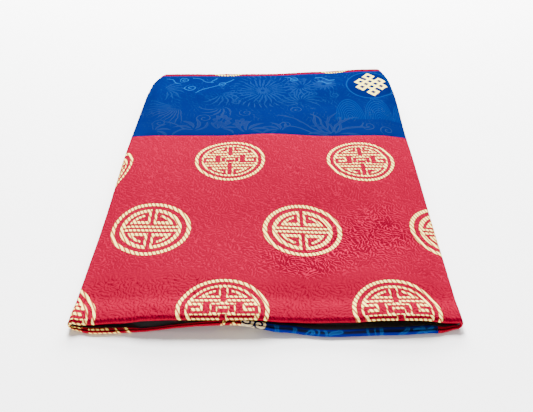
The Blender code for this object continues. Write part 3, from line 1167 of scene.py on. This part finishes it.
def blue_brocade(name, fans, curls, stems, hem=False, knot_at=None, ring_at=None, waves_at=None,
                 emblem_at=None):
    """Royal blue satin with tone-on-tone scrolls, and cream where a knot or an emblem is woven in."""
    material, tree, shader, u, v = new_material(name)
    plane = joined(tree, u, v)
    wobble = noise(tree, plane, 0.09, 2.0)
    fine = noise(tree, plane, 1.1, 3.0, 0.6)
    drift = noise(tree, plane, 0.02, 2.0)
    vary = noise(tree, plane, 0.05, 1.0)
    bent_u = u + (wobble - 0.5) * SCROLL_BEND
    bent_v = v + (drift - 0.5) * SCROLL_BEND
    shape = scrolls(bent_u, bent_v, fans, curls, stems)
    ground = mixed(tree, drift, BLUE_DEEP, BLUE_GROUND)
    ground = mixed(tree, mask(0.5 - fine, 0.5) * 0.25, ground, BLUE_DEEP)
    if hem:
        colour = hem_blue(tree, v, shape, ground)
    else:
        tone = mixed(tree, mask(TEAL_FROM_V - v, 30.0), SLATE, TEAL)
        sprig = mask(maze(tree, u + SPRIG_SHIFT_U, v, SPRIG_PITCH) - 0.060, 0.06) * mask(0.50 - wobble, 0.2)
        flowers = shape * (0.60 + mask(0.5 - vary, 0.5) * 0.40)
        shape = high(flowers, sprig * mask(SPRIG_FROM_V - v, 20.0) * 0.62)
        colour = mixed(tree, shape * 0.8, ground, tone)
        bright = scrolls(bent_u, bent_v, (), BRIGHT_CURLS, BRIGHT_STEMS)
        colour = mixed(tree, bright * 0.8, colour, BRIGHT_CYAN)
        shape = high(shape, bright)
    figure = shape
    if waves_at:
        wave = mask(arches(u - waves_at[0], v - waves_at[1], WAVE_PITCH, WAVE_HEIGHT), 0.6)
        wave = low(wave, low(mask(WAVES_U[0] - u, 3.0), mask(u - WAVES_U[1], 3.0)))
        colour = mixed(tree, wave * 0.5, colour, CYAN)
        figure = high(figure, wave * 0.6)
    if ring_at:
        r = length(u - ring_at[0], v - ring_at[1])
        colour = mixed(tree, mask(r - RING_RADIUS, 0.8), colour, BLUE_DEEP)
        circle = mask(abs(r - RING_RADIUS) - RING_HALF, 0.7)
        colour = mixed(tree, circle * 0.6, colour, CYAN)
        figure = high(figure * mask(RING_RADIUS - r, 0.8), circle)
    cream = None
    if knot_at:
        cream = knot(u - knot_at[0], v - knot_at[1])
    if emblem_at:
        disc, cream = small_emblem(u, v, emblem_at)
        colour = mixed(tree, disc, colour, NAVY)
    if cream is not None:
        twist = rope(u, v)
        cream_colour = mixed(tree, mask(0.5 - fine, 0.4) * 0.3, CREAM, CREAM_SHADE)
        if emblem_at:
            cream_colour = mixed(tree, 0.85, cream_colour, GREY_CREAM)
        colour = mixed(tree, cream, colour, mixed(tree, twist * 0.25, cream_colour, TWIST_GREY))
        figure = high(figure * 0.5, cream)
    weave = abs(wrapped(u + v, WEAVE_PITCH))
    height = figure * 0.5 + weave * 0.35 + fine * 0.2
    if hem:
        height = height - hem_shade(v, *RED_HEM_SHADE) * 0.6
    rough = 0.45 - figure * 0.05
    finish_cloth(tree, shader, colour, height, rough, BLUE_TINT, 0.4, 0.00015)
    return material


def lining_weave(name):
    """Black plain weave with a faint green cast."""
    material, tree, shader, u, v = new_material(name)
    plane = joined(tree, u, v)
    warp = abs(wrapped(u, WEAVE_PITCH))
    weft = abs(wrapped(v, WEAVE_PITCH))
    fine = noise(tree, plane, 0.6, 3.0, 0.6)
    drift = noise(tree, plane, 0.03, 2.0)
    colour = mixed(tree, fine * 0.6 + drift * 0.4, LINING_DARK, LINING_LIGHT)
    height = (warp + weft) * 0.8 + fine * 0.3
    finish_cloth(tree, shader, colour, height, 0.75, LINING_TINT, 0.5, 0.0002)
    return material


# Half side of the pale surface, its colour, and the strength of the surround
GROUND_HALF = 6.0
GROUND_WHITE = (0.95, 0.95, 0.952)
WHITE = (1.0, 1.0, 1.0)
SURROUND_STRENGTH = 0.13

# Lights: name, place, aim, width and height, watts and colour
LAMPS = (
    ("key", (-0.20, 1.40, 1.45), (0, 0, 0), (0.9, 0.7), 245.0, WHITE),
    ("back", (0.15, 1.90, 0.75), (0, 0, 0), (2.0, 0.7), 270.0, WHITE),
    ("fill", (0.80, 0.20, 1.10), (0, 0, 0), (1.0, 1.0), 4.0, WHITE),
    ("front", (-0.10, -1.50, 0.18), (0, -0.15, 0.01), (1.6, 0.3), 46.0, (1.0, 0.86, 0.83)),
)

# Camera, fitted to six roundels in the photograph: its place, angles and focal length
CAMERA_AT = (-0.00269, -0.40341, 0.29011)
CAMERA_PITCH = math.radians(38.887)
CAMERA_ROLL = math.radians(1.474)
FOCAL_PIXELS = 573.06
PHOTO_WIDTH_PIXELS = 533
SENSOR_MM = 36.0


def stage_material(name, colour, rough):
    """A plain matt material of one colour."""
    material = bpy.data.materials.new(name)
    material.use_nodes = True
    shader = material.node_tree.nodes["Principled BSDF"]
    shader.inputs["Base Color"].default_value = (*colour, 1.0)
    shader.inputs["Roughness"].default_value = rough
    shader.inputs["Specular IOR Level"].default_value = 0.1
    return material


def build_stage():
    """The pale surface that the panel lies on."""
    mesh = bpy.data.meshes.new("ground")
    half = GROUND_HALF
    corners = [(-half, -half, 0), (half, -half, 0), (half, half, 0), (-half, half, 0)]
    mesh.from_pydata(corners, [], [(0, 1, 2, 3)])
    ground = bpy.data.objects.new("ground", mesh)
    scene.collection.objects.link(ground)
    mesh.materials.append(stage_material("ground_white", GROUND_WHITE, 0.8))


def lamp(name, place_at, aim, size, power, colour):
    """A large soft light aimed at a point."""
    data = bpy.data.lights.new(name, "AREA")
    data.shape = "RECTANGLE"
    data.size, data.size_y = size
    data.energy = power
    data.color = colour
    light = bpy.data.objects.new(name, data)
    scene.collection.objects.link(light)
    way = Vector(aim) - Vector(place_at)
    light.matrix_world = Matrix.Translation(place_at) @ way.to_track_quat("-Z", "Y").to_matrix().to_4x4()


def build_light():
    """Soft studio light and a near-white surround."""
    world = bpy.data.worlds.new("surround")
    scene.world = world
    world.use_nodes = True
    surround = world.node_tree.nodes["Background"]
    surround.inputs[0].default_value = (*WHITE, 1.0)
    surround.inputs[1].default_value = SURROUND_STRENGTH
    for row in LAMPS:
        lamp(*row)


def build_camera():
    """Camera at the photograph's angle."""
    data = bpy.data.cameras.new("view")
    data.sensor_fit = "HORIZONTAL"
    data.sensor_width = SENSOR_MM
    data.lens = FOCAL_PIXELS / PHOTO_WIDTH_PIXELS * SENSOR_MM
    data.clip_start = 0.01
    view = bpy.data.objects.new("view", data)
    scene.collection.objects.link(view)
    view.matrix_world = (
        Matrix.Translation(CAMERA_AT)
        @ Matrix.Rotation(math.pi / 2 - CAMERA_PITCH, 4, "X")
        @ Matrix.Rotation(CAMERA_ROLL, 4, "Z")
    )
    scene.camera = view


build_camera()
build_stage()
build_light()
red, under, band, back, lining = build_cloth()

red.data.materials.append(red_brocade("red_front_brocade", *FRONT_ROUNDEL, hem=True, slump=SLUMP))
under.data.materials.append(
    blue_brocade("blue_under_brocade", HEM_FANS, HEM_CURLS, HEM_STEMS, hem=True, emblem_at=HEM_EMBLEM_AT))
band.data.materials.append(
    blue_brocade("blue_band_brocade", BAND_FANS, BAND_CURLS, BAND_STEMS, knot_at=KNOT_AT, ring_at=RING_AT,
                 waves_at=WAVES_AT))
back.data.materials.append(red_brocade("red_back_brocade", *BACK_ROUNDEL))
lining.data.materials.append(lining_weave("black_lining"))

# Each piece with its node, its slot, its flat size in metres and what it lies on
for piece, node, slot, flat, lies_on in (
    (red, "red_front", "red_brocade", (0.386, 0.219), ["ground", "lining_cloth"]),
    (under, "blue_under", "blue_brocade", (0.125, 0.219), ["ground"]),
    (band, "blue_band", "blue_brocade", (0.516, 0.116), ["ground", "lining_cloth"]),
    (back, "red_back", "red_brocade", (0.512, 0.149), ["lining_cloth"]),
    (lining, "lining", "black_lining", (0.502, 0.470), ["red_front_cloth", "blue_band_cloth"]),
):
    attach(piece, "root")
    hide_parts(node)
